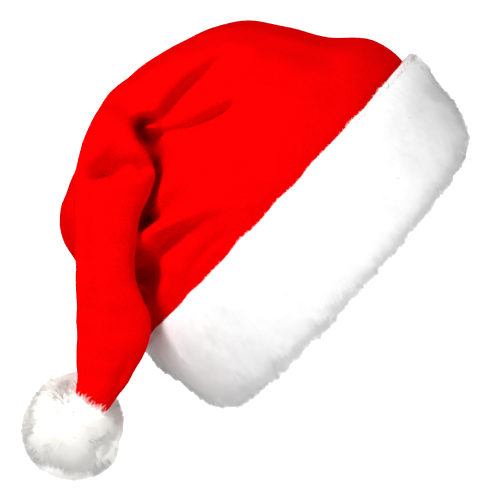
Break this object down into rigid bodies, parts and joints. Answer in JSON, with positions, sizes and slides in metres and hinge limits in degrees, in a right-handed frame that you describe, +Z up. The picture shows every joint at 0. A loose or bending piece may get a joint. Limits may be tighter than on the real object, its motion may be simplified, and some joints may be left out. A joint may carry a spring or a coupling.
{
  "type": "santa hat",
  "caption": "Soft red plush hat with a long tail folded over to one side, a deep white fur cuff round its opening and a white fur pompom on the tip.",
  "frame": {"origin": "middle of the opening for the head, at the crown's rim", "axes": "+Z up as worn on a head tipped back; the hat's own axis leans 48.7 degrees from +Z towards -X; +Y towards the side away from the folded tail"},
  "size_m": [0.2734, 0.204, 0.2744],
  "materials": {
    "red_plush": "matt short-pile plush with a soft sheen",
    "white_fur": "matt long-pile faux fur",
    "pompom_fur": "matt dense faux fur, slightly creamy"
  },
  "bodies": {
    "root": {"crown": "red_plush", "cuff": "white_fur", "pompom": "pompom_fur"}
  },
  "joints": []
}
